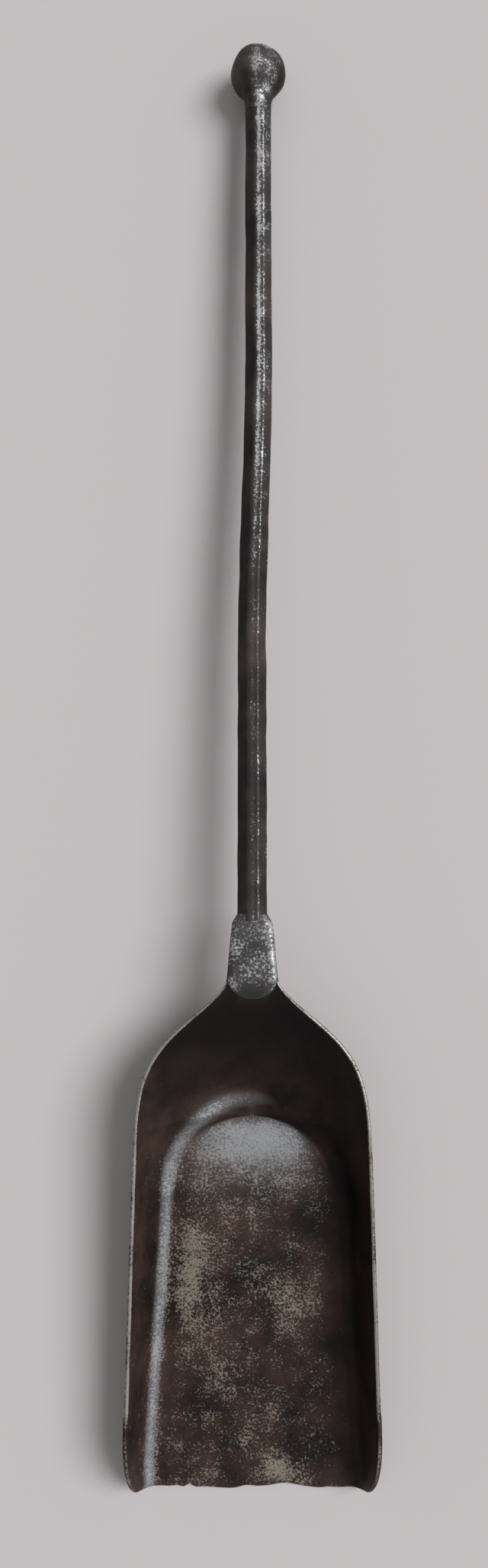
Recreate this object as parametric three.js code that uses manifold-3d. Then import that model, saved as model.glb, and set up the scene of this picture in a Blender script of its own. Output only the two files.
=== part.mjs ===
// A forged iron hearth shovel, lying on the flat of its pan with its ball knob touching the same
// surface. Millimetres, +Z up, +Y from the pan towards the knob, +X to the right as it is looked
// down on. The origin lies on the surface, below the middle of the shovel's bounding box.
//
// The pan is one sheet with raised sides and a back wall that runs up to a crest. Behind the crest
// a thin tongue of the sheet slopes down under the neck, a flattened palm that laps over the
// crest. The octagonal bar meets the neck in a slanting scarf, and its other end is drawn down to
// a round tenon that passes through the knob and is spread into a countersink at the far side.

import * as THREE from "three";
import { mergeVertices } from "three/addons/utils/BufferGeometryUtils.js";
import Module from "manifold-3d";

const { clamp, degToRad, lerp, smoothstep } = THREE.MathUtils;
const wasm = await Module();
wasm.setup();

// The whole shovel
const overallLength = 732;
const jointGap = 0.3; // between the faces of every welded or pinned seat

// The pan, measured on the outside of its sheet
const panLength = 254; // from the mouth to the crest
const sheetThickness = 2.2;
const mouthWidth = 123.2; // across the rims where the front corners begin
const backWidth = 110.2; // where the side lines would meet the crest if they ran straight on
const shoulderRun = 27.3; // how far the neck's flare reaches into the shoulders
const shoulderPower = 1.65; // how full the shoulders are
const rimHeight = 34;
const mouthRimHeight = 28;
const rimFallStart = 75; // from the crest to where the rims begin to fall towards the mouth
const cornerSetback = 38; // how far the worn front corners lean back at the rim
const mouthFloorWidth = 97.2;
const backFloorWidth = 70.4; // where the floor's side lines would meet the crest
const floorArcLength = 40; // length of the floor's rounded back end
const backWallRun = 72; // from the crest down to the flat floor
const foldRun = 14; // the rounded fold over the crest
const toeRun = 26; // the hollow bend at the foot of the back wall
const sideRoundness = 0.5; // bend between floor and side, as a share of the fullest arc
const backRoundness = 0.9;

// The tongue of the pan's sheet under the neck
const tongueLength = 22;
const tongueEndThickness = 1;
const tongueSlope = degToRad(14);

// The neck
const neckLength = 32; // from the crest to the end of the octagonal bar
const neckWidth = 24.6; // at the crest
const neckShoulderWidth = 20;
const neckShoulderRun = 6; // from the octagon to the full shoulder
const palmThickness = 3; // over the crest
const palmTipThickness = 0.8;
const palmTipRun = 9; // how far the palm's rounded tip reaches down the back wall
const palmBevel = 1;

// The octagonal bar
const barWidth = 14.8; // across the flats at the neck
const barKnobWidth = 13.4; // across the flats at the knob
const arrisSoftening = 0.8;
const scarfLength = 20;
const sideBend = 3.3; // how far the bar's upper half is set over to the right
const sideBendStart = 160; // from the crest
const sideBendLength = 150;
const roundingLength = 46; // over which the octagon turns round below the knob
const barStep = 16;

// The knob and the tenon
const knobDiameter = 28.5;
const knobCollarReach = 19; // from the knob's centre to the bar's shoulder
const knobBlendWidth = 18; // where the collar's sweep meets the ball
const tenonDiameter = 8;
const tenonHeadDiameter = 10.4;
const tenonHeadLength = 2.4;
const knobSides = 40;

// Places that follow from the sizes
const mouthY = -overallLength / 2;
const crestY = mouthY + panLength;
const neckEndY = crestY + neckLength;
const knobRadius = knobDiameter / 2;
const knobY = overallLength / 2 - knobRadius;
const cornerStart = panLength - cornerSetback;
const floorArcCentre = backWallRun + floorArcLength;
const palmTop = rimHeight + sheetThickness + jointGap + palmThickness;
const up = new THREE.Vector3(0, 0, 1);

// Solids and geometries

function toSolid(geometry) {
  const bare = geometry.clone();
  bare.deleteAttribute("normal");
  bare.deleteAttribute("uv");
  const merged = mergeVertices(bare, 1e-4);
  return new wasm.Manifold(
    new wasm.Mesh({
      numProp: 3,
      vertProperties: merged.attributes.position.array,
      triVerts: new Uint32Array(merged.index.array),
    }),
  );
}

function toGeometry(solid) {
  const mesh = solid.getMesh();
  const geometry = new THREE.BufferGeometry();
  geometry.setAttribute("position", new THREE.BufferAttribute(mesh.vertProperties, 3));
  geometry.setIndex(new THREE.BufferAttribute(mesh.triVerts, 1));
  return geometry;
}

function indexedGeometry(points, faces) {
  const geometry = new THREE.BufferGeometry();
  geometry.setFromPoints(points);
  geometry.setIndex(faces);
  return geometry;
}

// A closed solid through rings of equally many points, with a flat face at each end.
function loft(rings) {
  const count = rings[0].length;
  const faces = [];
  for (let ring = 0; ring + 1 < rings.length; ring++) {
    for (let k = 0; k < count; k++) {
      const a = ring * count + k;
      const b = ring * count + ((k + 1) % count);
      faces.push(a, b + count, b, a, a + count, b + count);
    }
  }
  const last = (rings.length - 1) * count;
  for (let k = 1; k + 1 < count; k++) {
    faces.push(0, k, k + 1);
    faces.push(last, last + k + 1, last + k);
  }
  return indexedGeometry(rings.flat(), faces);
}

// A closed solid between two grids of points of the same shape, one above the other.
function closedSheet(lower, upper) {
  const rows = lower.length;
  const columns = lower[0].length;
  const points = [...lower.flat(), ...upper.flat()];
  const low = (row, column) => row * columns + column;
  const high = (row, column) => rows * columns + low(row, column);
  const faces = [];
  for (let i = 0; i + 1 < rows; i++) {
    for (let j = 0; j + 1 < columns; j++) {
      faces.push(high(i, j), high(i + 1, j), high(i + 1, j + 1));
      faces.push(high(i, j), high(i + 1, j + 1), high(i, j + 1));
      faces.push(low(i, j), low(i + 1, j + 1), low(i + 1, j));
      faces.push(low(i, j), low(i, j + 1), low(i + 1, j + 1));
    }
  }
  const edge = (i, j, nextI, nextJ) => {
    faces.push(high(nextI, nextJ), high(i, j), low(i, j));
    faces.push(high(nextI, nextJ), low(i, j), low(nextI, nextJ));
  };
  for (let i = 0; i + 1 < rows; i++) {
    edge(i, 0, i + 1, 0);
    edge(i + 1, columns - 1, i, columns - 1);
  }
  for (let j = 0; j + 1 < columns; j++) {
    edge(rows - 1, j, rows - 1, j + 1);
    edge(0, j + 1, 0, j);
  }
  return indexedGeometry(points, faces);
}

// Unit normals of a grid of points, on the side of the hollow.
function gridNormals(rows) {
  return rows.map((row, i) =>
    row.map((point, j) => {
      const along = rows[Math.min(i + 1, rows.length - 1)][j].clone();
      along.sub(rows[Math.max(i - 1, 0)][j]);
      const across = row[Math.min(j + 1, row.length - 1)].clone();
      across.sub(row[Math.max(j - 1, 0)]);
      return along.cross(across).normalize();
    }),
  );
}

// The pan. Its lines are functions of the distance from the crest towards the mouth, which is
// negative along the tongue.

function neckHalfWidth(fromCrest) {
  const shoulder = neckLength - neckShoulderRun;
  const palm = lerp(neckWidth, neckShoulderWidth, fromCrest / shoulder) / 2;
  return lerp(palm, barWidth / 2, smoothstep(fromCrest, shoulder, neckLength));
}

function rimHalfWidth(distance) {
  if (distance <= 0) return neckHalfWidth(-distance);
  const side = lerp(backWidth, mouthWidth, distance / cornerStart) / 2;
  const flare = Math.exp(-((distance / shoulderRun) ** shoulderPower));
  return side - ((backWidth - neckWidth) / 2) * flare;
}

function rimLine(distance) {
  const fall = clamp((distance - rimFallStart) / (cornerStart - rimFallStart), 0, 1);
  return lerp(rimHeight, mouthRimHeight, fall);
}

// Height of the middle of the sheet's underside: the tongue's slope, then a convex fold, a
// straight ramp and a hollow toe down to the flat floor.
function centreHeight(distance) {
  if (distance <= 0) return rimHeight + distance * Math.tan(tongueSlope);
  const steepest = rimHeight / (backWallRun - (foldRun + toeRun) / 2);
  const toFloor = Math.max(backWallRun - distance, 0);
  if (distance < foldRun) return rimHeight - (steepest * distance ** 2) / (2 * foldRun);
  if (toFloor > toeRun) return rimHeight - steepest * (distance - foldRun / 2);
  return (steepest * toFloor ** 2) / (2 * toeRun);
}

// Half the width of the flat floor, whose back end is half an ellipse.
function floorHalfWidth(distance) {
  const narrowest = 1;
  const side = lerp(backFloorWidth, mouthFloorWidth, distance / panLength) / 2;
  const back = clamp((floorArcCentre - distance) / floorArcLength, 0, 1);
  return Math.max(side * Math.sqrt(1 - back ** 2), narrowest);
}

// A point of the cross-section's outer line. Its reach runs from 0 at the middle to 1 at the edge
// of the flat floor, 2 at the end of the bend and 3 at the rim, and is negative on the left. An
// overhang carries the wall straight on past the rim.
function sectionPoint(distance, reach, overhang) {
  const least = 0.02;
  const flat = floorHalfWidth(distance);
  const across = rimHalfWidth(distance) - flat;
  const rise = Math.max(rimLine(distance) - centreHeight(distance), least);
  const toSides = smoothstep(distance, backWallRun / 2, floorArcCentre);
  const roundness = lerp(backRoundness, sideRoundness, toSides);
  const radius = (roundness * (across ** 2 + rise ** 2)) / (2 * rise);
  const toCentre = Math.hypot(across, rise - radius);
  const turn = Math.atan2(rise - radius, across) + Math.asin(radius / toCentre);
  const wall = Math.sqrt(toCentre ** 2 - radius ** 2) + overhang;
  const angle = turn * clamp(Math.abs(reach) - 1, 0, 1);
  const upWall = wall * clamp(Math.abs(reach) - 2, 0, 1);
  const x = flat * Math.min(Math.abs(reach), 1)
    + radius * Math.sin(angle) + upWall * Math.cos(turn);
  const height = radius * (1 - Math.cos(angle)) + upWall * Math.sin(turn);
  return {
    x: Math.sign(reach) * x,
    z: centreHeight(distance) + height,
    heightShare: height / rise,
  };
}

function evenSteps(from, to, count) {
  return Array.from({ length: count }, (_, k) => lerp(from, to, k / count));
}

// The reaches of one row of points, closer together towards the rim, where the corner turns.
function rowReaches() {
  const flatSteps = 2;
  const bendSteps = 6;
  const wallSteps = 5;
  const half = [...evenSteps(0, 1, flatSteps), ...evenSteps(1, 2, bendSteps)];
  for (let k = 0; k <= wallSteps; k++) {
    half.push(2 + Math.sin(((k / wallSteps) * Math.PI) / 2));
  }
  return [...half.slice(1).reverse().map((reach) => -reach), ...half];
}

// How far from the crest the worn front edge lies, where the section has a share of its height.
function frontEdge(heightShare) {
  return panLength - cornerSetback * (1 - Math.sqrt(1 - Math.min(heightShare, 1) ** 2));
}

// Rows of points on the outside of the sheet, from the end of the tongue to the front edge.
function panRows(tongue, overhang) {
  const cornerRowsStart = cornerStart - 12;
  const distances = [
    ...evenSteps(-tongue, 0, 3),
    ...evenSteps(0, backWallRun, 16),
    ...evenSteps(backWallRun, floorArcCentre, 7),
    ...evenSteps(floorArcCentre, cornerRowsStart, 3),
  ];
  const reaches = rowReaches();
  const pointAt = (distance, reach) => {
    const { x, z } = sectionPoint(distance, reach, overhang);
    return new THREE.Vector3(x, crestY - distance, z);
  };
  const rows = distances.map((distance) => reaches.map((reach) => pointAt(distance, reach)));
  const frontSteps = 6;
  for (let k = 0; k <= frontSteps; k++) {
    rows.push(
      reaches.map((reach) => {
        const front = frontEdge(sectionPoint(panLength, reach, 0).heightShare);
        return pointAt(lerp(cornerRowsStart, front, k / frontSteps), reach);
      }),
    );
  }
  return rows;
}

// The sheet from a depth below its outside to its own thickness, and a clearance, above it.
function panSheet(tongue, overhang, depthBelow, clearance) {
  const rows = panRows(tongue, overhang);
  const normals = gridNormals(rows);
  const offsetRows = (offsetAt) =>
    rows.map((row, i) =>
      row.map((point, j) => point.clone().addScaledVector(normals[i][j], offsetAt(point))),
    );
  const thicknessAt = (point) => {
    const alongTongue = clamp((point.y - crestY) / tongueLength, 0, 1);
    return lerp(sheetThickness, tongueEndThickness, alongTongue);
  };
  const lower = offsetRows(() => -depthBelow);
  return closedSheet(lower, offsetRows((point) => thicknessAt(point) + clearance));
}

// The bar and the neck share one kind of ring: a rectangle with its corners cut off by a leg, and
// each arris then softened.
function softRing(halfWidth, top, bottom, leg, softening) {
  const corners = [
    [halfWidth, bottom + leg],
    [halfWidth, top - leg],
    [halfWidth - leg, top],
    [leg - halfWidth, top],
    [-halfWidth, top - leg],
    [-halfWidth, bottom + leg],
    [leg - halfWidth, bottom],
    [halfWidth - leg, bottom],
  ].map(([x, z]) => new THREE.Vector2(x, z));
  return corners.flatMap((corner, k) => {
    const before = corners[(k + 7) % 8].clone().sub(corner);
    const after = corners[(k + 1) % 8].clone().sub(corner);
    return [before, after].map((side) => {
      const cut = Math.min(softening, side.length() / 3);
      return corner.clone().addScaledVector(side.normalize(), cut);
    });
  });
}

const octagonLeg = (width) => width * (1 - Math.SQRT1_2);

// The line that the bar's middle follows: level with the neck's top at one end, down to the
// middle of the knob at the other, with a slight set to the right half way.
function barAxis(y) {
  const set = smoothstep(y - crestY, sideBendStart, sideBendStart + sideBendLength);
  const toKnob = (y - neckEndY) / (knobY - neckEndY);
  return new THREE.Vector3(sideBend * set, y, lerp(palmTop - barWidth / 2, knobRadius, toKnob));
}

function barDirection(y) {
  return barAxis(y + 1).sub(barAxis(y - 1)).normalize();
}

function barRing(y) {
  const share = (y - neckEndY) / (knobY - knobCollarReach - neckEndY);
  const width = lerp(barWidth, barKnobWidth, clamp(share, 0, 1));
  const round = smoothstep(y, knobY - knobCollarReach - roundingLength, knobY - knobCollarReach);
  const ahead = barDirection(y);
  const right = ahead.clone().cross(up).normalize();
  const top = right.clone().cross(ahead);
  const ring = softRing(width / 2, width / 2, -width / 2, octagonLeg(width), arrisSoftening);
  return ring.map((point) => {
    const rounded = lerp(1, width / 2 / point.length(), round);
    return barAxis(y)
      .addScaledVector(right, point.x * rounded)
      .addScaledVector(top, point.y * rounded);
  });
}

// A block whose one face lies on the scarf, on the bar's side of it or on the neck's. The bar's
// end lies on top, so the scarf runs from the end of the neck up to the bar's thin lip.
function scarfBlock(onBarSide, clearance) {
  const size = 4 * barWidth;
  const slant = Math.atan2(scarfLength, barWidth);
  const normal = new THREE.Vector3(0, Math.cos(slant), Math.sin(slant));
  const middle = barAxis(neckEndY + scarfLength / 2);
  const shift = onBarSide ? size / 2 - clearance : clearance - size / 2;
  const block = new THREE.BoxGeometry(size, size, size);
  block.rotateX(slant);
  block.translate(...middle.addScaledVector(normal, shift).toArray());
  return toSolid(block);
}

// The knob and the tenon are turned about one line, with 0 at the knob's centre and the far side
// positive. Both are then set along the bar's direction.

function alongTenon(object) {
  const direction = barDirection(knobY);
  object.position.copy(barAxis(knobY));
  object.quaternion.setFromUnitVectors(new THREE.Vector3(0, 1, 0), direction);
  object.updateMatrix();
  return object;
}

// Points of the ball's own outline between two radii from the line, both on its far side.
function ballOutline(fromRadius, toRadius, steps) {
  const from = Math.asin(fromRadius / knobRadius);
  const to = Math.asin(toRadius / knobRadius);
  return Array.from({ length: steps + 1 }, (_, k) => {
    const angle = lerp(from, to, k / steps);
    return new THREE.Vector2(knobRadius * Math.sin(angle), knobRadius * Math.cos(angle));
  });
}

function makeKnob() {
  const bore = tenonDiameter / 2 + jointGap;
  const sinkRadius = tenonHeadDiameter / 2 + jointGap;
  const sinkEdge = Math.sqrt(knobRadius ** 2 - sinkRadius ** 2);
  const blendRadius = knobBlendWidth / 2;
  const blendPlace = -Math.sqrt(knobRadius ** 2 - blendRadius ** 2);
  const collarRadius = barKnobWidth / 2;
  const collar = new THREE.QuadraticBezierCurve(
    new THREE.Vector2(collarRadius, -knobCollarReach),
    new THREE.Vector2(collarRadius, blendPlace - 2),
    new THREE.Vector2(blendRadius, blendPlace),
  ).getPoints(4);
  const nearSide = ballOutline(knobRadius, blendRadius, 5).slice(1, -1).reverse();
  const profile = [
    new THREE.Vector2(bore, -knobCollarReach),
    ...collar,
    ...nearSide.map((point) => new THREE.Vector2(point.x, -point.y)),
    ...ballOutline(knobRadius, sinkRadius, 8),
    new THREE.Vector2(bore, sinkEdge - tenonHeadLength),
    new THREE.Vector2(bore, -knobCollarReach),
  ];
  return new THREE.LatheGeometry(profile, knobSides);
}

function makeTenon() {
  const radius = tenonDiameter / 2;
  const headRadius = tenonHeadDiameter / 2;
  const headEdge = Math.sqrt(knobRadius ** 2 - headRadius ** 2);
  const inBar = knobCollarReach + barKnobWidth / 2;
  const profile = [
    new THREE.Vector2(0, -inBar),
    new THREE.Vector2(radius, -inBar),
    new THREE.Vector2(radius, headEdge - tenonHeadLength),
    ...ballOutline(headRadius, 0, 3),
  ];
  const tenon = new THREE.LatheGeometry(profile, knobSides / 2);
  return tenon.applyMatrix4(alongTenon(new THREE.Object3D()).matrix);
}

function makeBar() {
  const shoulder = knobY - knobCollarReach - jointGap;
  const steps = Math.round((shoulder - neckEndY) / barStep);
  const rings = [...evenSteps(neckEndY, shoulder, steps).map(barRing), barRing(shoulder)];
  const bar = toSolid(loft(rings)).add(toSolid(makeTenon()));
  return toGeometry(bar.subtract(scarfBlock(false, 0)));
}

// One ring of the neck, at a distance from the crest towards the bar.
function neckRing(fromCrest) {
  const y = crestY + fromCrest;
  const shoulder = neckLength - neckShoulderRun;
  const toOctagon = smoothstep(fromCrest, shoulder, neckLength);
  const leg = lerp(palmBevel, octagonLeg(barWidth), toOctagon);
  const tip = clamp(-fromCrest / palmTipRun, 0, 1);
  const halfWidth = neckHalfWidth(Math.max(fromCrest, 0)) * Math.sqrt(1 - (0.97 * tip) ** 2);
  const sheetTop = centreHeight(-Math.min(fromCrest, 0)) + sheetThickness + jointGap;
  const top = sheetTop + lerp(palmThickness, palmTipThickness, tip);
  const atTongueEnd = centreHeight(-tongueLength);
  const belowBar = palmTop - barWidth;
  const toBar = smoothstep(fromCrest, tongueLength, neckLength);
  const bottom = fromCrest > tongueLength
    ? lerp(atTongueEnd, belowBar, toBar)
    : centreHeight(-fromCrest);
  const sunk = fromCrest > tongueLength ? 0 : jointGap / 2;
  return softRing(halfWidth, top, bottom + sunk, leg * Math.sqrt(1 - tip * tip) + 0.2 * tip, 0.3)
    .map((point) => new THREE.Vector3(point.x, y, point.y));
}

function makeNeck() {
  const scarfEnd = neckEndY + scarfLength;
  const stub = [scarfEnd + jointGap, neckEndY + scarfLength / 2, neckEndY].map(barRing);
  const shoulder = neckLength - neckShoulderRun;
  const palm = [
    ...evenSteps(neckLength - 1.5, shoulder, 3),
    shoulder,
    tongueLength + jointGap,
    tongueLength,
    ...evenSteps(tongueLength - 6, 0, 3),
    ...evenSteps(0, -palmTipRun, 6),
    -palmTipRun,
  ].map(neckRing);
  const stock = toSolid(loft([...stub, ...palm].reverse()));
  const sheetRoom = toSolid(panSheet(tongueLength + jointGap, 1, 1, jointGap));
  return toGeometry(stock.subtract(scarfBlock(true, jointGap)).subtract(sheetRoom));
}

// The shovel

const finishes = {
  pan: { color: 0x3a302b, roughness: 0.55, metalness: 0.75 },
  neck: { color: 0x5a5653, roughness: 0.48, metalness: 0.85 },
  bar: { color: 0x4a4440, roughness: 0.45, metalness: 0.85 },
  knob: { color: 0x4e4945, roughness: 0.42, metalness: 0.85 },
};

function ironPiece(name, geometry, finish) {
  geometry.computeVertexNormals();
  const piece = new THREE.Mesh(geometry, new THREE.MeshStandardMaterial(finish));
  piece.name = name;
  return piece;
}

const shovel = new THREE.Group();
shovel.add(ironPiece("blade", panSheet(tongueLength, 0, 0, 0), finishes.pan));
shovel.add(ironPiece("neck", makeNeck(), finishes.neck));
shovel.add(ironPiece("handle_bar", makeBar(), finishes.bar));
shovel.add(alongTenon(ironPiece("ball_knob", makeKnob(), finishes.knob)));

export default shovel;
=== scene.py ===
# %% [markdown]
# An iron hearth shovel, from the frame outwards. The frame holds the four forged pieces at their
# real size: the pan, the neck, the octagonal bar and the ball knob. This lesson gives each of them
# the surface that a smith's hammer and long use leave. It starts by loading the frame and keeping
# its box.

# %% Load the frame
from math import radians

import bpy
import numpy as np
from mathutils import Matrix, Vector


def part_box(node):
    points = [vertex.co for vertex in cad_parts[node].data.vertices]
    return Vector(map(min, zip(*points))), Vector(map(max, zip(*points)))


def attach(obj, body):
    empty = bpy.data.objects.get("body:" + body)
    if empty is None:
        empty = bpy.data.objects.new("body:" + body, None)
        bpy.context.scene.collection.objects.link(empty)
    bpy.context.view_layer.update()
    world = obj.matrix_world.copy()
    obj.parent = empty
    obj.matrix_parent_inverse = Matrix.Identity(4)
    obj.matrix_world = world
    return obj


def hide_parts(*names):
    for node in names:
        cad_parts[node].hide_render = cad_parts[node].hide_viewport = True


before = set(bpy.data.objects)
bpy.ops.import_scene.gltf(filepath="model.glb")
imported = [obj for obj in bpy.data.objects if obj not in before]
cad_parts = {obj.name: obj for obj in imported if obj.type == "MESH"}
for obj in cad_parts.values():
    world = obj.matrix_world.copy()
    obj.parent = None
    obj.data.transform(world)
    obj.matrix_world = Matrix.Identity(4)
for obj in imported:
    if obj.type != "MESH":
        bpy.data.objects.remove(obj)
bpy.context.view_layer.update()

MM = 0.001  # sizes below are in millimetres, and Blender's are in metres
print("nodes:", sorted(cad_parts))

# %% [markdown]
# Every size comes from the frame where it can: a node's box gives the length of the pan, its
# width at the mouth and the place of the crest, where the back wall ends and the neck begins.
# The rest are the forging's own sizes, and they are named where they are first needed.

# %% Places read from the frame
pan_low, pan_high = (np.array(corner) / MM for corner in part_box("blade"))
neck_high = np.array(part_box("neck")[1]) / MM
knob_low, knob_high = (np.array(corner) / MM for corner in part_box("ball_knob"))

TONGUE = 22.0
NECK_LENGTH = 32.0
MOUTH_Y = pan_low[1]
MOUTH_WIDTH = pan_high[0] - pan_low[0]
CREST_Y = pan_high[1] - TONGUE
PAN_LENGTH = CREST_Y - MOUTH_Y
NECK_END_Y = CREST_Y + NECK_LENGTH
NECK_TOP = neck_high[2]
KNOB_RADIUS = (knob_high[2] - knob_low[2]) / 2
KNOB_CENTRE = np.array([(knob_low[0] + knob_high[0]) / 2, knob_high[1] - KNOB_RADIUS, KNOB_RADIUS])
print("crest at", round(CREST_Y, 1), "knob centre", KNOB_CENTRE.round(2))

# %% [markdown]
# Three small functions are used all through. One mixes two values, one eases from 0 to 1, and one
# is a bell that is 1 in the middle and fades both ways. With these three, a soft edge anywhere on
# the shovel is one short line.


# %% Easing
def lerp(a, b, share):
    """The value a share of the way from a to b."""
    return a + (b - a) * share


def smooth(value, low, high):
    """0 below low, 1 above high, and the cubic 3s^2 - 2s^3 between."""
    s = np.clip((value - low) / (high - low), 0, 1)
    return s * s * (3 - 2 * s)


def bell(value, width):
    """exp(-(value / width)^2): 1 at 0, fading both ways."""
    return np.exp(-((value / width) ** 2))


# %% [markdown]
# A hammer face leaves shallow round dents. Each dent here is a soft bell of its own depth and
# width, dropped at a seeded random place, and all of them are added at once over the whole array
# of points. Waves summed from sines of seeded directions give the slower sway that hand work has.
# A bump texture could fake both, but real relief in the mesh changes light and silhouette alike.

# %% Hammer marks and sway
DENT_WIDTHS = (0.6, 1.4)  # the least and the greatest share of the width asked for
DENT_DEPTHS = (0.3, 1.0)
WAVE_LENGTHS = (0.6, 1.6)
WAVES = 9


def hammer_dents(points, count, width, depth, seed):
    """Sum over the dents of depth * exp(-(distance to the dent / width)^2), always positive."""
    rng = np.random.default_rng(seed)
    flat = points.reshape(-1, 3)
    centres = rng.uniform(flat.min(0), flat.max(0), (count, 3))
    widths = width * rng.uniform(*DENT_WIDTHS, count)
    depths = depth * rng.uniform(*DENT_DEPTHS, count)
    total = np.zeros(len(flat))
    for centre, wide, deep in zip(centres, widths, depths):
        total += deep * np.exp(-((flat - centre) ** 2).sum(1) / wide**2)
    return total.reshape(points.shape[:-1])


def sway(points, wavelength, seed):
    """Sum of sines of the place along random directions, over the square root of their number."""
    rng = np.random.default_rng(seed)
    total = np.zeros(points.shape[:-1])
    for _ in range(WAVES):
        direction = rng.normal(size=3)
        length = wavelength * rng.uniform(*WAVE_LENGTHS)
        direction *= 2 * np.pi / (length * np.linalg.norm(direction))
        total += np.sin(points @ direction + rng.uniform(0, 2 * np.pi))
    return total / np.sqrt(WAVES)


# %% [markdown]
# Every piece is a stack of closed rings. The pan's rings run over its inside from left to right,
# round the rim, and back under its outside, so its ends close with quads from the inside to the
# point below. A tube's ends close with one flat face. Seen along the way its stack grows, every
# ring turns anticlockwise, and wound like this all faces point outwards. Wear with painted light,
# and polish with painted sheen, are kept per point, as attributes that the materials read.


# %% Make a mesh from rings
def sheet_caps(index):
    """Quads across each end of a sheet, from a point of its inside to the one below it."""
    half = index.shape[1] // 2
    upper = index[:, :half]
    lower = index[:, half:][:, ::-1]
    across = np.stack([upper[:, :-1], upper[:, 1:], lower[:, 1:], lower[:, :-1]], -1)
    return across[0].tolist() + across[-1][:, ::-1].tolist()


def make_piece(name, rings, wear_and_painted_light, polish_and_painted_sheen, node, sheet=False):
    """A closed mesh from rings (rows, around, 3) in millimetres, with wear and painted light, and polish
    and painted sheen, per point.
    """
    rows, around = rings.shape[:2]
    index = np.arange(rows * around).reshape(rows, around)
    here, after = index[:-1], index[1:]
    quads = np.stack([here, after, np.roll(after, -1, 1), np.roll(here, -1, 1)], -1).reshape(-1, 4)
    caps = sheet_caps(index) if sheet else [index[0].tolist(), index[-1][::-1].tolist()]
    mesh = bpy.data.meshes.new(name)
    mesh.from_pydata(rings.reshape(-1, 3) * MM, [], quads.tolist() + caps)
    for label, values in (("wear_and_painted_light", wear_and_painted_light), ("polish_and_painted_sheen", polish_and_painted_sheen)):
        values = np.broadcast_to(np.clip(values, 0, 1), (rows, around)).reshape(-1)
        layer = mesh.attributes.new(label, "FLOAT", "POINT")
        layer.data.foreach_set("value", values.astype(np.float32))
    mesh.validate()
    mesh.polygons.foreach_set("use_smooth", np.ones(len(mesh.polygons), dtype=bool))
    mesh.update()
    piece = bpy.data.objects.new(name, mesh)
    bpy.context.scene.collection.objects.link(piece)
    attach(piece, "root")
    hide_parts(node)
    print(name, len(mesh.vertices), "points", len(mesh.polygons), "faces")
    return piece


# %% [markdown]
# The pan is one sheet of iron. Its straight sides open a little towards a wide mouth, and round
# shoulders draw in to the neck. Seen from above, its rim is a straight line less a flare that
# fades with distance. Seen from the side, the rim is level and then falls a little towards the
# mouth. Distances run from the crest towards the mouth, and are negative on the neck's side of it.

# %% The rim
RIM_HEIGHT = 34.0
MOUTH_RIM_HEIGHT = 28.0
RIM_FALL_START = 75.0
CORNER_SETBACK = 38.0
CORNER_START = PAN_LENGTH - CORNER_SETBACK
BACK_WIDTH = 110.2
SHOULDER_RUN = 27.3
SHOULDER_POWER = 1.65
NECK_WIDTH = 24.6
NECK_SHOULDER_WIDTH = 20.0
NECK_SHOULDER_RUN = 6.0
BAR_WIDTH = 14.8


def neck_half_width(from_crest):
    """A straight taper along the palm that eases into the bar's half width at the shoulder."""
    shoulder = NECK_LENGTH - NECK_SHOULDER_RUN
    palm = lerp(NECK_WIDTH, NECK_SHOULDER_WIDTH, from_crest / shoulder) / 2
    return lerp(palm, BAR_WIDTH / 2, smooth(from_crest, shoulder, NECK_LENGTH))


def rim_half_width(d):
    """A straight side line less a flare that fades as exp(-(distance / run)^power)."""
    ahead = np.maximum(d, 0)
    side = lerp(BACK_WIDTH, MOUTH_WIDTH, ahead / CORNER_START) / 2
    flare = np.exp(-((ahead / SHOULDER_RUN) ** SHOULDER_POWER))
    rim = side - (BACK_WIDTH - NECK_WIDTH) / 2 * flare
    return np.where(d > 0, rim, neck_half_width(np.maximum(-d, 0)))


def rim_line(d):
    """Level at first, then a straight fall towards the mouth."""
    fall = np.clip((d - RIM_FALL_START) / (CORNER_START - RIM_FALL_START), 0, 1)
    return lerp(RIM_HEIGHT, MOUTH_RIM_HEIGHT, fall)


print("rim at the front corners:", round(2 * float(rim_half_width(CORNER_START)), 1), "wide")

# %% [markdown]
# The floor is flat. Its back end is half an ellipse, and behind it the middle of the pan climbs a
# straight ramp to the crest, with a parabola at the ramp's foot and another over the crest. Past
# the crest the sheet goes on as a tongue, sloping down under the neck.

# %% The floor and the back wall
BACK_WALL_RUN = 72.0
FOLD_RUN = 14.0
TOE_RUN = 26.0
FLOOR_ARC = 40.0
MOUTH_FLOOR_WIDTH = 97.2
BACK_FLOOR_WIDTH = 70.4
LEAST_FLOOR = 1.0
TONGUE_SLOPE = radians(14)


def centre_height(d):
    """The tongue's slope, a parabola over the crest, a straight ramp and a parabola to the floor."""
    steep = RIM_HEIGHT / (BACK_WALL_RUN - (FOLD_RUN + TOE_RUN) / 2)
    to_floor = np.maximum(BACK_WALL_RUN - d, 0)
    fold = RIM_HEIGHT - steep * d**2 / (2 * FOLD_RUN)
    ramp = RIM_HEIGHT - steep * (d - FOLD_RUN / 2)
    toe = steep * to_floor**2 / (2 * TOE_RUN)
    front = np.where(d < FOLD_RUN, fold, np.where(to_floor > TOE_RUN, ramp, toe))
    return np.where(d > 0, front, RIM_HEIGHT + d * np.tan(TONGUE_SLOPE))


def floor_half_width(d):
    """A straight side line with half an ellipse at its back end."""
    side = lerp(BACK_FLOOR_WIDTH, MOUTH_FLOOR_WIDTH, d / PAN_LENGTH) / 2
    back = np.clip((BACK_WALL_RUN + FLOOR_ARC - d) / FLOOR_ARC, 0, 1)
    return np.maximum(side * np.sqrt(1 - back**2), LEAST_FLOOR)


print("floor at the mouth:", round(2 * float(floor_half_width(PAN_LENGTH)), 1), "wide")

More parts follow.
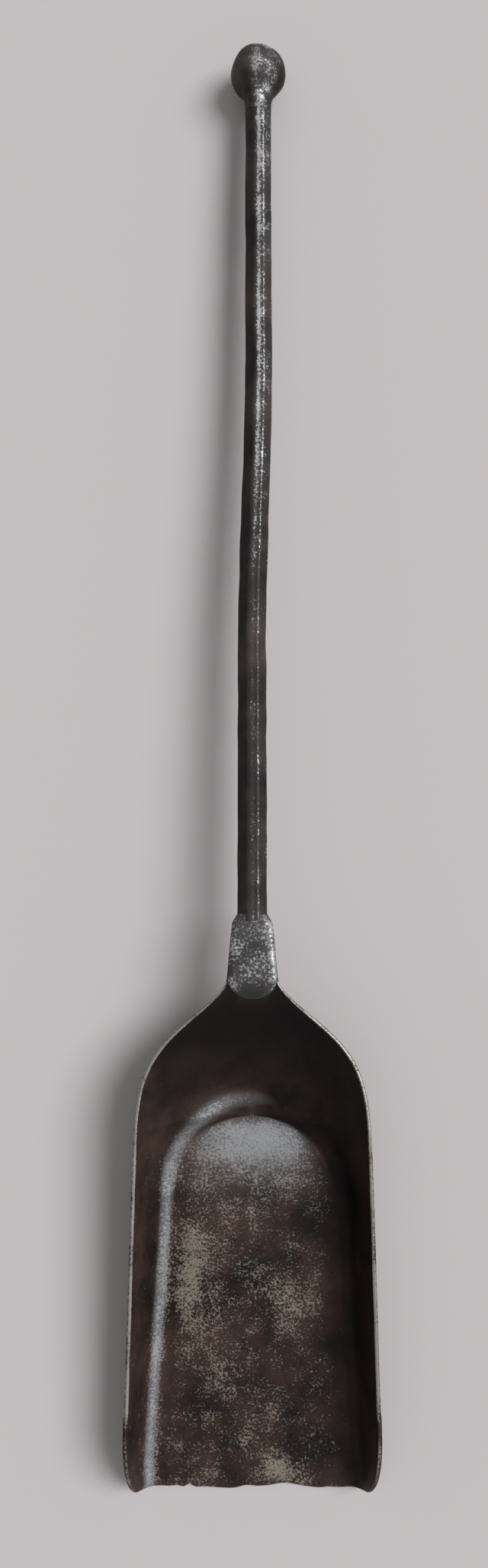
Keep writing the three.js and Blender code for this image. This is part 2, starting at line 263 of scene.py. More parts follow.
# %% [markdown]
# Across the pan, the section is the flat floor, a bend and a straight wall that leans out to the
# rim. The bend's radius is a share of the one arc that would reach the rim by itself, so the wall
# is always the tangent that is left. Box modelling could come close to this shape, but a section
# with a few named sizes keeps the wall truly straight and the bend truly round.

# %% One section of the pan
BACK_ROUNDNESS = 0.9
SIDE_ROUNDNESS = 0.5
LEAST_RISE = 0.02


def pan_section(d, reach):
    """Flat floor to reach 1, an arc to reach 2, then the arc's tangent up to the rim at reach 3."""
    flat = floor_half_width(d)
    across = rim_half_width(d) - flat
    rise = np.maximum(rim_line(d) - centre_height(d), LEAST_RISE)
    to_sides = smooth(d, BACK_WALL_RUN / 2, BACK_WALL_RUN + FLOOR_ARC)
    roundness = lerp(BACK_ROUNDNESS, SIDE_ROUNDNESS, to_sides)
    radius = roundness * (across**2 + rise**2) / (2 * rise)
    to_centre = np.hypot(across, rise - radius)
    turn = np.arctan2(rise - radius, across) + np.arcsin(np.minimum(radius / to_centre, 1))
    wall = np.sqrt(np.maximum(to_centre**2 - radius**2, 0))
    far = np.abs(reach)
    angle = turn * np.clip(far - 1, 0, 1)
    up = wall * np.clip(far - 2, 0, 1)
    x = flat * np.minimum(far, 1) + radius * np.sin(angle) + up * np.cos(turn)
    height = radius * (1 - np.cos(angle)) + up * np.sin(turn)
    return np.sign(reach) * x, centre_height(d) + height, height / rise


def outside_point(d, reach):
    """The section's point, set at its distance from the crest."""
    x, z, _ = pan_section(d, reach)
    return np.stack([x, CREST_Y - d, z], -1)


print("half a section, by reach:", pan_section(CORNER_START, np.arange(4.0))[0].round(1))

# %% [markdown]
# The front corners are worn back in a quarter of an ellipse, and the lip is wavy and chipped
# where it has scraped a hearth for years. The rows of the grid lean with the corner, so the
# edge is one clean line of points. The rows and columns crowd together near the free edges,
# where the sheet thins to a rounded lip.

# %% The pan's grid
LIP_LEVEL = 0.5
LIP_WAVES = ((0.35, 9.0, 0.0), (0.25, 3.7, 1.3))  # height, length and start of each wave
LIP_CHIPS = ((-37, 0.7, 2.2), (-31, 1.9, 1.6), (-3, 0.8, 3.0), (15.5, 1.7, 7.0), (38, 0.6, 3.0))
CORNER_LEAD = 12.0
FLOOR_COLUMNS, BEND_COLUMNS, WALL_COLUMNS = 34, 26, 22
TONGUE_ROWS, BACK_ROWS, SIDE_ROWS, CORNER_ROWS = 12, 96, 60, 36
NEAR_RIM = np.array([0.955, 0.97, 0.982, 0.991, 0.997, 1.0])
NEAR_LIP = np.array([0.95, 0.965, 0.98, 0.99, 0.997, 1.0])


def lip_wear(x):
    """How far the lip is worn back: slow waves, and chips of a place, a depth and a width."""
    waves = sum(high * np.sin(x / long + start) for high, long, start in LIP_WAVES)
    chips = sum(deep * bell(x - at, wide) for at, deep, wide in LIP_CHIPS)
    return LIP_LEVEL + waves + chips


def up_to(low, high, count):
    """Even steps from low towards high, leaving high itself to the next stretch."""
    return np.linspace(low, high, count)[:-1]


def pan_grid():
    """The reach and the distance of every point of the outside of the sheet (rows, columns)."""
    half = np.concatenate([
        up_to(0, 1, FLOOR_COLUMNS),
        up_to(1, 2, BEND_COLUMNS),
        2 + up_to(0, NEAR_RIM[0], WALL_COLUMNS),
        2 + NEAR_RIM,
    ])
    reach = np.concatenate([-half[:0:-1], half])
    floor_start = BACK_WALL_RUN + FLOOR_ARC
    body_end = CORNER_START - CORNER_LEAD
    body = np.concatenate([
        up_to(-TONGUE, 0, TONGUE_ROWS),
        up_to(0, floor_start, BACK_ROWS),
        up_to(floor_start, body_end, SIDE_ROWS),
    ])
    share = np.concatenate([up_to(0, NEAR_LIP[0], CORNER_ROWS), NEAR_LIP])
    x_mouth, _, height_share = pan_section(np.full_like(reach, PAN_LENGTH), reach)
    corner = CORNER_SETBACK * (1 - np.sqrt(1 - np.minimum(height_share, 1) ** 2))
    front = PAN_LENGTH - corner - lip_wear(x_mouth) * (1 - height_share)
    d = np.concatenate([
        np.repeat(body[:, None], len(reach), 1),
        lerp(body_end, front[None, :], share[:, None]),
    ])
    return np.repeat(reach[None, :], len(d), 0), d


pan_reach, pan_distance = pan_grid()
outside = outside_point(pan_distance, pan_reach)
print("pan grid:", outside.shape[:2])

# %% [markdown]
# Thickness is added along the normals, from the outside towards the hollow. The normals come
# from two small steps over the formula itself, because differences between the grid's own points
# go wrong where the rows lean. Each point also needs its distance to the nearest free edge.

# %% Normals and distances to the edges
STEP_ALONG = 0.05
STEP_ACROSS = 0.004
FAR_FROM_EDGES = 9.0


def section_normals(d, reach):
    """The cross product of two small steps over the surface, one along it and one across."""
    along = outside_point(d + STEP_ALONG, reach) - outside_point(d - STEP_ALONG, reach)
    across = outside_point(d, reach + STEP_ACROSS) - outside_point(d, reach - STEP_ACROSS)
    normal = np.cross(along, across)
    return normal / np.linalg.norm(normal, axis=-1, keepdims=True)


def run_along(points, axis):
    """The length walked from the first point to each point, along one axis of the grid."""
    steps = np.linalg.norm(np.diff(points, axis=axis), axis=2)
    return np.insert(np.cumsum(steps, axis), 0, 0.0, axis=axis)


normals = section_normals(pan_distance, pan_reach)
run_across = run_along(outside, 1)
to_rim = np.minimum(run_across, run_across[:, -1:] - run_across)
run_forward = run_along(outside, 0)
to_front = run_forward[-1:] - run_forward
free_edge = np.where(pan_distance > 0, np.minimum(to_rim, to_front), FAR_FROM_EDGES)

# %% [markdown]
# The floor's foot is a line: two nearly straight sides joined by half an ellipse at the back.
# Forging raises a soft ridge along that line and leaves a valley just inside it. Both are bells
# across one measure, the distance beyond the line, so ridge and valley stay side by side.

# %% The line along the floor's foot
FOOT_Y = -220.0
FOOT_HALF_WIDTH = 43.0
FOOT_SPREAD = 9.0
FOOT_SPREAD_RUN = 130.0
FOOT_DEPTH = 46.0
BACK_START, BACK_FULL = -235, -205
RIDGE_WIDTHS = (2.8, 3.8)  # along the sides and at the back
VALLEY_INSET = 7.5
VALLEY_WIDTH = 3.0

foot_half = FOOT_HALF_WIDTH + FOOT_SPREAD * np.clip((FOOT_Y - outside[..., 1]) / FOOT_SPREAD_RUN, 0, 1)
foot_back = np.maximum(outside[..., 1] - FOOT_Y, 0) / FOOT_DEPTH
beyond = (np.hypot(outside[..., 0] / foot_half, foot_back) - 1) * foot_half
at_back = smooth(outside[..., 1], BACK_START, BACK_FULL)
ridge = bell(beyond, lerp(*RIDGE_WIDTHS, at_back))
valley = bell(beyond + VALLEY_INSET, VALLEY_WIDTH)
print("line along the foot:", round(2 * float(foot_half.max()), 1), "wide")

# %% [markdown]
# The inside takes the hammer's relief in full. The outside takes a share of the dents, and only
# inwards, so that the pan still lies on its own underside. Near the free edges the relief calms
# down and the sheet closes in a rounded lip, and the tongue thins towards its end.

# %% Thickness and relief
SHEET = 2.2
TONGUE_END_SHARE = 0.45
LIP_ROUNDING = 1.1
LIP_LEAST = 0.22
CALM_EDGE = 3.0
RIDGE_HEIGHT = 0.25
VALLEY_DEPTH = 0.16
INNER_SWAY = 0.12
BROAD_SWAY = 0.08
MOST_RELIEF = 0.5
UNDERSIDE_SHARE = 0.3


def rounded_edge(from_edge, reach):
    """The share of the half thickness at a distance from an edge: a quarter circle of that reach."""
    s = np.clip(from_edge / reach, 0, 1)
    return np.maximum(np.sqrt(1 - (1 - s) ** 2), LIP_LEAST)


thick = SHEET * lerp(1.0, TONGUE_END_SHARE, np.clip(-pan_distance / TONGUE, 0, 1))
half_thick = thick / 2 * rounded_edge(free_edge, LIP_ROUNDING)
dents = hammer_dents(outside, count=420, width=7.0, depth=0.22, seed=3)
dents = dents + BROAD_SWAY * (sway(outside, wavelength=30, seed=5) + 1)
relief = RIDGE_HEIGHT * ridge - VALLEY_DEPTH * valley
relief = relief + INNER_SWAY * sway(outside, wavelength=16, seed=8) - dents
calm = np.clip(free_edge / CALM_EDGE, 0, 1)
inner_shift = np.clip(relief * calm, -MOST_RELIEF, MOST_RELIEF)
middle = outside + normals * (thick / 2)[..., None]
inside = middle + normals * (half_thick + inner_shift)[..., None]
under = middle - normals * (half_thick - UNDERSIDE_SHARE * dents * calm)[..., None]
print("mean sheet thickness:", round(float(np.linalg.norm(inside - under, axis=2).mean()), 2))

# %% [markdown]
# Wear is the other half of the likeness, and painted light is laid over it. Shovelling rubs the
# floor in patches and above all the thin edge of the rim. A bright patch at the foot of the back
# wall and a line along the ridge are painted highlights, where light is reflected in the hollow.
# The right wall and the back keep their dark skin. So the wear and the painted light of each point
# are worked out from where it lies, and the material turns them into grains of bare iron. Polish
# says how far those grains have merged. Where a name below holds two places, the effect starts at
# the first and is full at the second.

# %% Wear and painted highlight of the floor
FLOOR_REACH = 1.25
FLOOR_FADE = (0, 0.4)
FLOOR_FROM_CREST = (62, 82)
FLOOR_PATCHES_AND_HIGHLIGHT = {  # middle x and y, half width, half length and strength
    # the first two are a painted highlight and its halo, where light is reflected at the foot of the back
    # wall
    "painted highlight at the foot of the back wall": (4, -194, 26, 15, 0.34),
    "painted halo around that highlight": (2, -204, 42, 24, 0.1),
    "left of the floor": (-29, -260, 13, 28, 0.26),
    "right of the floor": (16, -272, 13, 14, 0.14),
    "middle of the lip": (12, -358, 11, 8, 0.24),
    "front left": (-14, -325, 26, 24, 0.06),
}
# A painted sheen over the highlight at the foot of the back wall.
HIGHLIGHT_SHEEN_PATCH = (4, -190, 40, 26, 1.3)
FLOOR_WEAR = 0.3
FLOOR_WAVE = 0.045


def patch(points, x, y, wide, long, strength):
    """A soft ellipse about a place: strength * exp(-(dx / wide)^2 - (dy / long)^2)."""
    return strength * np.exp(-((points[..., 0] - x) / wide) ** 2 - ((points[..., 1] - y) / long) ** 2)


floor_here = smooth(FLOOR_REACH - np.abs(pan_reach), *FLOOR_FADE)
floor_here = floor_here * smooth(pan_distance, *FLOOR_FROM_CREST)
patches_and_highlight = sum(patch(inside, *values) for values in FLOOR_PATCHES_AND_HIGHLIGHT.values())
patches_and_highlight = patches_and_highlight + FLOOR_WAVE * sway(inside, wavelength=17, seed=11)
floor_wear_and_highlight = floor_here * (FLOOR_WEAR + patches_and_highlight)
print("floor wear:", floor_wear_and_highlight.min().round(2), "to", floor_wear_and_highlight.max().round(2))

# %% [markdown]
# The ridge carries a painted highlight, brightest on the left and at the back, where the lamp
# from the right catches it, and dying away on the right. It is a narrow bell over a broad one, so
# the painted line has a soft halo. The left wall, which faces the lamp, gets a painted sheen, the
# back wall a little wear, and painted shade lies in the valley.

# %% Painted light on the ridge, the left wall and the valley, and wear of the back wall
# The glow and the ridge highlight are a painted highlight along the ridge, strongest on its lit left
# side.
GLOW_WIDTHS = (5.5, 8.0)  # along the sides and at the back, as in the next two lines
GLOW_SHARES = (0.3, 0.6)
RIDGE_HIGHLIGHT = (0.46, 0.47)
RIGHT_RIDGE_HIGHLIGHT = 0.02
RIDGE_SHARE = 0.5
LIT_SIDE = (-30, 25)  # to the left of the middle
LEFT_WALL = (38, 52)
LEFT_WALL_FROM_CREST = (30, 70)
# A painted sheen on the left wall, which faces the lamp.
LEFT_WALL_SHEEN = 0.2
BACK_WALL_FROM_CREST = (22, 50)
BACK_WALL_WEAR = 0.07
PALM_SHADE_END = 16
PALM_SHADE_FADE = (0, 10)
PALM_SHADE_HALF = 9
PALM_SHADE_SIDES = (-3, 4)
PALM_SHADE_WEAR = 0.06
# Painted shade in the valley inside the ridge.
VALLEY_SHADE = 0.1

lit_side = smooth(-inside[..., 0], *LIT_SIDE)
glow = lerp(*GLOW_SHARES, at_back) * bell(beyond, lerp(*GLOW_WIDTHS, at_back)) + RIDGE_SHARE * ridge
ridge_highlight = glow * lerp(RIGHT_RIDGE_HIGHLIGHT, lerp(*RIDGE_HIGHLIGHT, at_back), lit_side)
lit_left_wall = smooth(-inside[..., 0], *LEFT_WALL) * smooth(pan_distance, *LEFT_WALL_FROM_CREST)
back_wall = smooth(pan_distance, *BACK_WALL_FROM_CREST)
palm_shade = smooth(PALM_SHADE_END - pan_distance, *PALM_SHADE_FADE)
palm_shade = palm_shade * smooth(PALM_SHADE_HALF - np.abs(inside[..., 0]), *PALM_SHADE_SIDES)
print("ridge wear: up to", ridge_highlight.max().round(2))

# %% [markdown]
# The thin edge of the rim is rubbed the brightest of all. Its brightness changes slowly along the
# rim and dulls towards the mouth. The edge is polished as well, and the highlights at the foot of
# the back wall and on the ridge get a painted sheen, which blurs their grains.

# %% Wear of the edges, polish, and painted sheen on the ridge
EDGE_BAND = (0.5, 1.3)
EDGE_CHANGE = (-1.2, 0.8)
EDGE_WEAR = (0.6, 0.85)
LIP_DULLING = 0.65
LIP_BAND = (2, 12)
EDGE_POLISH = 0.7
# A painted sheen along the lit side of the ridge.
RIDGE_SHEEN = (0.05, 0.4)

edge_change = smooth(sway(inside, wavelength=24, seed=13), *EDGE_CHANGE)
edge_wear = (1.0 - smooth(free_edge, *EDGE_BAND)) * lerp(*EDGE_WEAR, edge_change)
edge_wear = edge_wear * lerp(LIP_DULLING, 1.0, smooth(to_front, *LIP_BAND))
# Real wear, plus the painted highlights and sheen, less the painted shade in the valley.
pan_wear_and_painted_light = (
    floor_wear_and_highlight
    + ridge_highlight
    + LEFT_WALL_SHEEN * lit_left_wall
    + BACK_WALL_WEAR * back_wall
    - VALLEY_SHADE * valley
    + PALM_SHADE_WEAR * palm_shade * (pan_distance > 0)
)
pan_wear_and_painted_light = np.maximum(pan_wear_and_painted_light, edge_wear)
pan_polish_and_painted_sheen = np.maximum(patch(inside, *HIGHLIGHT_SHEEN_PATCH), smooth(ridge * lit_side, *RIDGE_SHEEN))
pan_polish_and_painted_sheen = np.maximum(pan_polish_and_painted_sheen, EDGE_POLISH * edge_wear)
print("pan wear: mean", pan_wear_and_painted_light.mean().round(2), "polish: mean", pan_polish_and_painted_sheen.mean().round(2))

# %% [markdown]
# The underside is nobody's show side. It is scraped where it touches the hearth and dark
# elsewhere. With its wear known, the pan's rings can be joined and made a mesh.

# %% Wear of the underside, and the pan itself
UNDER_WEAR = 0.18
UNDER_WAVE = 0.09
SCRAPED_WEAR = 0.16
SCRAPED_HEIGHT = 0.6
UNDER_EDGE_SHARE = 0.8

under_wear = UNDER_WEAR + UNDER_WAVE * sway(under, wavelength=40, seed=12)
under_wear = under_wear + SCRAPED_WEAR * (under[..., 2] < SCRAPED_HEIGHT)
under_wear = np.maximum(under_wear, edge_wear * UNDER_EDGE_SHARE)
loops = np.concatenate([inside, under[:, ::-1]], 1)
# Rings of wear with painted light, and of polish with painted sheen.
wear_and_light_loops = np.concatenate([pan_wear_and_painted_light, under_wear[:, ::-1]], 1)
polish_and_sheen_loops = np.concatenate([pan_polish_and_painted_sheen, np.zeros_like(under_wear)], 1)
pan = make_piece("pan", loops, wear_and_light_loops, polish_and_sheen_loops, "blade", sheet=True)

# %% [markdown]
# The bar was square stock with its corners hammered down, so it has eight flats with soft
# arrises, and it turns round below the knob. A soft octagon comes from one formula: the inverse
# of its radius is a high power mean of the eight flats' own inverse distances. The higher the
# power, the crisper the arrises. The same formula with other distances gives the flattened neck.

# %% Soft polygons along a line
AROUND = 96
EIGHTH = np.pi / 4
FLAT_ANGLES = np.arange(8) * EIGHTH


def soft_ring(angle, distances, crispness):
    """Radius = (sum over the flats of (max(0, cos(angle - flat)) / distance)^p)^(-1/p)."""
    facing = np.maximum(np.cos(angle[..., None] - FLAT_ANGLES), 0)
    return ((facing / distances) ** crispness).sum(-1) ** (-1 / crispness)


def sides_of(ahead):
    """Two unit directions square to a line: its right, and its top."""
    right = np.cross(ahead, [0, 0, 1])
    right = right / np.linalg.norm(right, axis=-1, keepdims=True)
    return right, np.cross(right, ahead)


def spoke(angle, right, top):
    """The unit direction cos(angle) * right + sin(angle) * top."""
    return np.cos(angle)[..., None] * right + np.sin(angle)[..., None] * top


# %% [markdown]
# The bar isn't quite straight. It leaves the neck level with the palm, sinks evenly until the
# knob can lie on the table, and is set over by a few millimetres half way along. Its axis is one
# function of the place along the shovel, and the knob and the neck use the same function.

# %% The bar's axis and flats
BEND_START, BEND_END = 160, 310  # from the crest
COLLAR = 19.0
BAR_KNOB_WIDTH = 13.4
BAR_CRISPNESS = 46.0
INTO_NECK = 4.0
INTO_KNOB = 12.0
BAR_ROWS = 520
ROUNDING_START, ROUNDING_END = -60, 4  # from the collar
ROUNDING_SHARE = 0.8


def bar_axis(y):
    """Level with the neck's top at one end, the knob's middle at the other, set over half way."""
    over = smooth(y - CREST_Y, BEND_START, BEND_END) * KNOB_CENTRE[0]
    share = (y - NECK_END_Y) / (KNOB_CENTRE[1] - NECK_END_Y)
    return np.stack([over, y, lerp(NECK_TOP - BAR_WIDTH / 2, KNOB_RADIUS, share)], -1)


def bar_surface(radius):
    """The axis plus the radius along each spoke."""
    return bar_centre[:, None] + radius[..., None] * spoke(angle, bar_right[:, None], bar_top[:, None])


bar_y = np.linspace(NECK_END_Y - INTO_NECK, KNOB_CENTRE[1] - INTO_KNOB, BAR_ROWS)
bar_centre = bar_axis(bar_y)
ahead = np.gradient(bar_centre, axis=0)
ahead /= np.linalg.norm(ahead, axis=1, keepdims=True)
bar_right, bar_top = sides_of(ahead)
collar_y = KNOB_CENTRE[1] - COLLAR
taper = np.clip((bar_y - NECK_END_Y) / (collar_y - NECK_END_Y), 0, 1)
half_flats = lerp(BAR_WIDTH, BAR_KNOB_WIDTH, taper) / 2
turned = smooth(bar_y, collar_y + ROUNDING_START, collar_y + ROUNDING_END)
angle = np.linspace(0, 2 * np.pi, AROUND, endpoint=False)[None, :].repeat(BAR_ROWS, 0)
octagon = soft_ring(angle, half_flats[:, None, None], BAR_CRISPNESS)
bar_radius = lerp(octagon, half_flats[:, None], ROUNDING_SHARE * turned[:, None])
print("bar across its flats:", half_flats[[0, -1]].round(2) * 2)

# %% [markdown]
# Hammer marks only ever take metal away here, so the bar never grows past the frame's solid.
# A silvery strip along the top flat is partly grip wear and partly a painted reflection of the
# light overhead, strongest over the upper half and softer again just below the knob. The arrises
# are worn to thin bright lines, and on the right, with the right chamfer, carry a painted highlight.

# %% The bar's marks, wear and painted highlights
BAR_SWAY = 0.05
DEEPEST_BAR_MARK = 0.55
STRIP_WIDTH = 0.21
ARRIS_WIDTH = 0.07
# Arrises worn bright, with a painted highlight on the lit right side.
ARRIS_WEAR_AND_HIGHLIGHT = 0.22
ARRIS_LEFT_SHARE = 0.15
# The top strip: grip wear and a painted reflection of light overhead.
STRIP_WEAR_AND_SHEEN = (0.19, 0.47)  # near the neck, and over the upper half
# A painted highlight on the right chamfer, which faces the lamp.
RIGHT_CHAMFER_HIGHLIGHT = (0.1, 0.2)
BAR_SKIN_WEAR = 0.12
GRIP_WEAR = 0.14
GRIP_FADE = 0.5
# Where the painted reflection on the top strip, and the right chamfer's highlight, are strongest.
UPPER_HALF = (40, 190)  # places along the shovel, as in the next two lines
GRIP_FADE_RUN = (215, 300)
GRIP_RUN = (230, 320)
GRIP_TOP = (0.2, 0.8)  # sine or cosine of the angle round the bar, as in the next two lines
RIGHT_SIDE = (-0.3, 0.4)
CHAMFER_TOP = (0.2, 0.6)
BAR_WAVE = 0.06
BAR_POLISH = 0.3

rings = bar_surface(bar_radius)
marks = hammer_dents(rings, count=260, width=6.0, depth=0.24, seed=21)
marks = marks + BAR_SWAY * (sway(rings, wavelength=22, seed=22) + 1)
rings = bar_surface(bar_radius - np.clip(marks, 0, DEEPEST_BAR_MARK))
past_arris = (angle + EIGHTH / 2) % EIGHTH
arris = bell(past_arris, ARRIS_WIDTH) + bell(past_arris - EIGHTH, ARRIS_WIDTH)
top_strip = bell(angle - np.pi / 2, STRIP_WIDTH)
upper_half = smooth(bar_y, *UPPER_HALF) * (1 - GRIP_FADE * smooth(bar_y, *GRIP_FADE_RUN))
upper_half = upper_half[:, None]
grip = smooth(bar_y, *GRIP_RUN)[:, None] * smooth(np.sin(angle), *GRIP_TOP)
lit_right_side = smooth(np.cos(angle), *RIGHT_SIDE)
lit_right_chamfer = lit_right_side * smooth(np.sin(angle), *CHAMFER_TOP)
# Wear, with the painted reflection on the top strip and painted highlights on the right.
bar_wear_and_painted_light = (
    BAR_SKIN_WEAR
    + top_strip * lerp(*STRIP_WEAR_AND_SHEEN, upper_half)
    + lit_right_chamfer * lerp(*RIGHT_CHAMFER_HIGHLIGHT, upper_half)
    + ARRIS_WEAR_AND_HIGHLIGHT * arris * lerp(ARRIS_LEFT_SHARE, 1.0, lit_right_side)
    + GRIP_WEAR * grip
    + BAR_WAVE * sway(rings, wavelength=14, seed=24)
)
bar = make_piece("bar", rings, bar_wear_and_painted_light, BAR_POLISH, "handle_bar")

# %% [markdown]
# The neck is the bar's end hammered out flat: full depth where it meets the bar, wide and thin
# where it laps over the crest of the pan. Its rings use the same soft polygon about a middle that
# rises as the metal thins. Its tip runs down the back wall in a rounded, feathered end, and its
# other end is tucked just inside the bar, so that the scarf shows as one clean line.

# %% The neck's width and height
PALM = 3.0
PALM_TIP = 0.5
TIP_RUN = 9.5
TIP_ROUNDNESS = 0.985
TIP_ROWS, NECK_ROWS = 40, 90
INTO_BAR = 6.0
JOINT_GAP = 0.3
TOP_LIMIT_START = 20
LAP_DEPTH = 0.6
HEEL_START = 20

from_crest = np.concatenate([
    up_to(-TIP_RUN, 0, TIP_ROWS),
    np.linspace(0, NECK_LENGTH + INTO_BAR, NECK_ROWS),
])
tip = np.clip(-from_crest / TIP_RUN, 0, 1)
half_wide = neck_half_width(np.clip(from_crest, 0, NECK_LENGTH)) * np.sqrt(1 - (TIP_ROUNDNESS * tip) ** 2)
over_sheet = centre_height(-np.minimum(from_crest, 0)) + SHEET
neck_top = over_sheet + JOINT_GAP * (1 - tip) + lerp(PALM, PALM_TIP, tip)
bar_top_height = bar_axis(CREST_Y + from_crest)[:, 2] + BAR_WIDTH / 2
neck_top = np.where(from_crest > TOP_LIMIT_START, np.minimum(neck_top, bar_top_height), neck_top)
heel = smooth(from_crest, HEEL_START, NECK_LENGTH)
neck_bottom = lerp(centre_height(-from_crest) + LAP_DEPTH, NECK_TOP - BAR_WIDTH, heel)
half_high = (neck_top - neck_bottom) / 2
print("palm:", round(2 * half_wide.max(), 1), "wide")

# %% [markdown]
# The neck's corners grow from a small chamfer on the palm to the bar's own eight flats. The last
# few millimetres shrink a little, which tucks the end into the bar.

# %% The neck's corners
PALM_CHAMFER = 1.5
BAR_CHAMFER = BAR_WIDTH * (1 - np.sqrt(0.5))
CHAMFER_START = 24
CHAMFER_LIMIT = 0.8
TUCK = 0.07
TUCK_RUN = (30, 35)
NECK_CRISPNESS = 30.0

chamfer = lerp(PALM_CHAMFER, BAR_CHAMFER, smooth(from_crest, CHAMFER_START, NECK_LENGTH))
chamfer = np.minimum(chamfer, CHAMFER_LIMIT * half_high)
tucked = 1 - TUCK * smooth(from_crest, *TUCK_RUN)
half_wide = half_wide * tucked
half_high = half_high * tucked
slant = (half_wide + half_high - chamfer * tucked) / np.sqrt(2)
quarter = [half_wide, slant, half_high, slant]
distances = np.stack(quarter + quarter, -1)
print("chamfers:", chamfer.min().round(2), "to", chamfer.max().round(2))

# %% [markdown]
# The rings are spaced by an even turn of an ellipse and not by an even angle, so that the wide,
# thin palm gets as many points along its flat top as round its edges. Marks sink the top and the
# sides a little, less where the metal is thin.

# %% The neck's rings, marks, wear and painted highlight
NECK_SWAY = 0.06
DEEPEST_NECK_MARK = 0.5
FULL_MARK_HEIGHT = 3.0
SIDE_MARK_SHARE = 0.6
NECK_SKIN_WEAR = 0.14
NECK_TOP_BAND = (0.1, 0.6)  # sine of the turn round the neck
NECK_TOP_WEAR = 0.3
# A painted highlight along the right edge of the palm, which faces the lamp.
RIGHT_EDGE_HIGHLIGHT = 0.2
RIGHT_EDGE_TURN, RIGHT_EDGE_WIDTH = 0.75, 0.28
NECK_WAVE = 0.05
TIP_WEAR_SHARE = 0.6
NECK_POLISH = 0.3

spin = np.linspace(0, 2 * np.pi, AROUND, endpoint=False)[None, :]
neck_angle = np.arctan2(half_high[:, None] * np.sin(spin), half_wide[:, None] * np.cos(spin))
neck_radius = soft_ring(neck_angle, distances[:, None, :], NECK_CRISPNESS)
neck_rings = np.stack([
    neck_radius * np.cos(neck_angle),
    np.repeat((CREST_Y + from_crest)[:, None], AROUND, 1),
    ((neck_top + neck_bottom) / 2)[:, None] + neck_radius * np.sin(neck_angle),
], -1)
marks = hammer_dents(neck_rings, count=60, width=4.5, depth=0.3, seed=31)
marks = marks + NECK_SWAY * (sway(neck_rings, wavelength=12, seed=32) + 1)
marks = np.clip(marks, 0, DEEPEST_NECK_MARK) * np.clip(half_high / FULL_MARK_HEIGHT, 0, 1)[:, None]
neck_rings[..., 2] -= marks * np.maximum(np.sin(spin), 0)
neck_rings[..., 0] -= SIDE_MARK_SHARE * marks * np.cos(spin)
neck_wear_and_painted_light = (
    NECK_SKIN_WEAR
    + NECK_TOP_WEAR * smooth(np.sin(spin), *NECK_TOP_BAND)
    + RIGHT_EDGE_HIGHLIGHT * bell(spin - RIGHT_EDGE_TURN, RIGHT_EDGE_WIDTH)
    + NECK_WAVE * sway(neck_rings, wavelength=14, seed=33)
)
neck_wear_and_painted_light = neck_wear_and_painted_light * lerp(1.0, TIP_WEAR_SHARE, tip)[:, None]
neck = make_piece("neck_palm", neck_rings, neck_wear_and_painted_light, NECK_POLISH, "neck")

# %% [markdown]
# The knob is a ball on a tenon, swept into the bar by a short collar. Its profile has two parts:
# the ball from its far pole to the collar's root, with a shallow ring where the tenon was
# hammered over into its countersink, and the collar as one quadratic curve down to the bar.

# %% The knob's profile
COLLAR_ROOT = 9.0
POLE = 0.004
BALL_ROWS, COLLAR_ROWS = 90, 26
SEAM_RADIUS = 5.3
SEAM_DEPTH = 0.28
SEAM_WIDTH = 0.35
SEAM_SIDE = 1.0  # the ring is only on the far side, at polar angles below this
COLLAR_STAND = 0.1
COLLAR_RUN_ON = 3.0
PULL_IN = 0.2
PULL_BACK = 2.5


def curve(start, pull, end, share):
    """The quadratic curve (1 - s)^2 * start + 2 s (1 - s) * pull + s^2 * end."""
    return (1 - share) ** 2 * start + 2 * share * (1 - share) * pull + share**2 * end


polar = np.linspace(POLE, np.pi - np.arcsin(COLLAR_ROOT / KNOB_RADIUS), BALL_ROWS)
seam = SEAM_DEPTH * bell(KNOB_RADIUS * np.sin(polar) - SEAM_RADIUS, SEAM_WIDTH) * (polar < SEAM_SIDE)
ball_across = (KNOB_RADIUS - seam) * np.sin(polar)
ball_along = (KNOB_RADIUS - seam) * np.cos(polar)
sweep = np.linspace(0, 1, COLLAR_ROWS)[1:]
bar_half = BAR_KNOB_WIDTH / 2
collar_across = curve(COLLAR_ROOT, bar_half - PULL_IN, bar_half + COLLAR_STAND, sweep)
collar_along = curve(ball_along[-1], ball_along[-1] - PULL_BACK, -COLLAR - COLLAR_RUN_ON, sweep)
knob_across = np.concatenate([ball_across, collar_across])[:, None]
knob_along = np.concatenate([ball_along, collar_along])[:, None]
print("knob:", round(2 * knob_across.max(), 1), "across")

# %% [markdown]
# The profile is turned about the tenon's line, which follows the bar. Shallow dents all over keep
# the ball from looking lathe-turned. The hollow of the collar, which a palm slides over, is rubbed
# brightest. The top of the ball, turned a little to the right, is rubbed and carries a painted
# highlight where the lamp falls. The knob's stack grows from its far pole back to the bar, so its
# rings are turned round to keep its faces outwards.

# %% The knob
KNOB_SWAY = 0.06
DEEPEST_KNOB_MARK = 0.8
BALL_END = -11.0
HOLLOW_PLACE, HOLLOW_RUN = -14.0, 4.0
HOLLOW_TURN, HOLLOW_WIDTH = 1.3, 0.7
TOP_TURN = 0.25
TOP_BAND = (0.55, 1.0)  # sine of the turn round the knob
TOP_FROM_LINE = (2, 7)
KNOB_SKIN_WEAR = 0.16
# Rubbing with a painted highlight on the upper right of the ball.
KNOB_TOP_WEAR_AND_HIGHLIGHT = 0.28
HOLLOW_WEAR = 0.2
KNOB_WAVE = 0.09
KNOB_POLISH = 0.35

line = bar_axis(np.array([KNOB_CENTRE[1] - 1, KNOB_CENTRE[1]]))
line_ahead = (line[1] - line[0]) / np.linalg.norm(line[1] - line[0])
line_right, line_top = sides_of(line_ahead)


